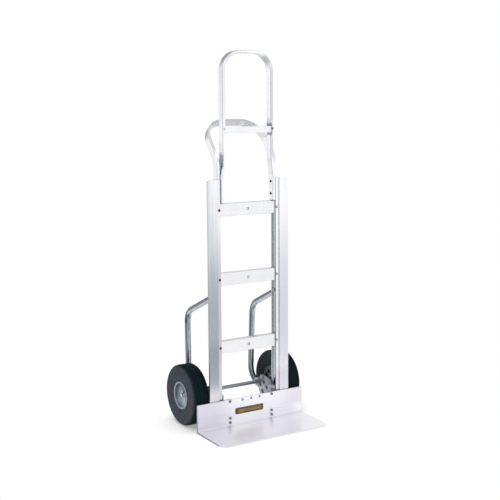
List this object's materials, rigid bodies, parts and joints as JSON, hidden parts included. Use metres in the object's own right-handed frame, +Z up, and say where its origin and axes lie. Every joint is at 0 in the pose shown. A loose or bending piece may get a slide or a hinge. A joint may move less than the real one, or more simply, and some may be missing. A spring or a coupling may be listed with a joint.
{
  "type": "hand truck",
  "caption": "Upright aluminium hand truck: flat nose plate, flat-faced side rails with cross braces, tall loop handle, rear handle, guard tubes and free-spinning ribbed wheels.",
  "frame": {"origin": "on the floor, below the middle of the box around the whole truck", "axes": "+Z up along the rails, +X across the truck to its right as seen from the front, +Y from the nose to the wheels"},
  "size_m": [0.528, 0.473, 1.533],
  "materials": {
    "nose_aluminium": "mill finish, lightly brushed",
    "rail_aluminium": "extruded, satin",
    "brace_aluminium": "extruded, satin",
    "handle_aluminium": "drawn tube, satin",
    "cast_aluminium": "as cast, matt",
    "tube_aluminium": "drawn tube, satin",
    "hub_aluminium": "die cast, satin",
    "plate_bronze": "bronze anodised, satin",
    "axle_steel": "bright zinc plated",
    "fastener_steel": "zinc plated",
    "dark_fastener_steel": "black oxide",
    "bearing_steel": "ground",
    "tyre_rubber": "moulded, matt"
  },
  "bodies": {
    "frame": {"nose_plate": "nose_aluminium", "name_plate": "plate_bronze", "left_side_rail": "rail_aluminium", "right_side_rail": "rail_aluminium", "lower_cross_brace": "brace_aluminium", "middle_cross_brace": "brace_aluminium", "upper_cross_brace": "brace_aluminium", "handle_cross_brace": "brace_aluminium", "loop_handle": "handle_aluminium", "rear_handle": "handle_aluminium", "left_axle_bracket": "cast_aluminium", "right_axle_bracket": "cast_aluminium", "left_guard_tube": "tube_aluminium", "right_guard_tube": "tube_aluminium", "axle": "axle_steel", "left_axle_spacer": "axle_steel", "right_axle_spacer": "axle_steel", "axle_washers": "fastener_steel", "cotter_pins": "fastener_steel", "brace_bolts": "fastener_steel", "brace_nuts": "fastener_steel", "handle_bolts": "fastener_steel", "handle_nuts": "fastener_steel", "handle_brace_screws": "fastener_steel", "nose_bolts": "dark_fastener_steel", "nose_nuts": "dark_fastener_steel", "bracket_bolts": "fastener_steel", "bracket_nuts": "fastener_steel", "guard_tube_bolts": "fastener_steel", "guard_tube_nuts": "fastener_steel"},
    "left_wheel": {"left_tyre": "tyre_rubber", "left_wheel_hub": "hub_aluminium", "left_bearings": "bearing_steel"},
    "right_wheel": {"right_tyre": "tyre_rubber", "right_wheel_hub": "hub_aluminium", "right_bearings": "bearing_steel"}
  },
  "joints": [
    {"name": "left_wheel_spin", "type": "hinge", "parent": "frame", "child": "left_wheel", "pos_m": [-0.2245, 0.1095, 0.127], "axis": [1, 0, 0], "continuous": true},
    {"name": "right_wheel_spin", "type": "hinge", "parent": "frame", "child": "right_wheel", "pos_m": [0.2245, 0.1095, 0.127], "axis": [1, 0, 0], "continuous": true}
  ]
}
